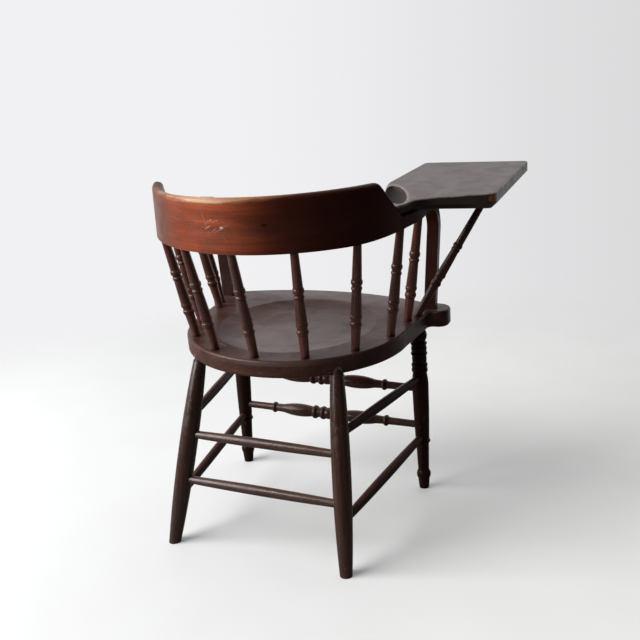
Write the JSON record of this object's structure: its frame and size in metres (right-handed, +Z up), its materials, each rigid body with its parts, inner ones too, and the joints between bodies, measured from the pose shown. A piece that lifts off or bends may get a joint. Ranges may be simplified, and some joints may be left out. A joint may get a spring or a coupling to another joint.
{
  "type": "writing arm windsor chair",
  "caption": "Low-backed turned windsor armchair with a saddled plank seat, a bent back rail that runs into the arms, and a broad fixed writing tablet on the sitter's right arm.",
  "frame": {"origin": "middle of the overall footprint, on the floor", "axes": "+Z up; the sitter faces -Y; +X is the sitter's left, and the writing tablet is on the -X side"},
  "size_m": [0.704, 0.7072, 0.739],
  "materials": {
    "seat_wood": "dark brown stained plank, worn satin varnish",
    "bent_wood": "red-brown stained bent wood, varnish worn through to pale wood along the crest",
    "turned_wood": "very dark brown stained turnings, satin varnish",
    "tablet_wood": "dark brown board, top worn to a greyish satin",
    "screw_steel": "dulled wood screws"
  },
  "bodies": {
    "root": {"seat": "seat_wood", "back_rail": "bent_wood", "writing_tablet": "tablet_wood", "tablet_brace": "turned_wood", "tablet_screws": "screw_steel", "spindle_centre": "turned_wood", "spindle_left_1": "turned_wood", "spindle_left_2": "turned_wood", "spindle_left_3": "turned_wood", "spindle_left_4": "turned_wood", "spindle_right_1": "turned_wood", "spindle_right_2": "turned_wood", "spindle_right_3": "turned_wood", "spindle_right_4": "turned_wood", "spindle_left_front": "turned_wood", "leg_rear_left": "turned_wood", "leg_rear_right": "turned_wood", "leg_front_left": "turned_wood", "leg_front_right": "turned_wood", "stretcher_rear_upper": "turned_wood", "stretcher_rear_lower": "turned_wood", "stretcher_front_upper": "turned_wood", "stretcher_front_lower": "turned_wood", "stretcher_left_upper": "turned_wood", "stretcher_left_lower": "turned_wood", "stretcher_right_upper": "turned_wood", "stretcher_right_lower": "turned_wood"}
  },
  "joints": []
}
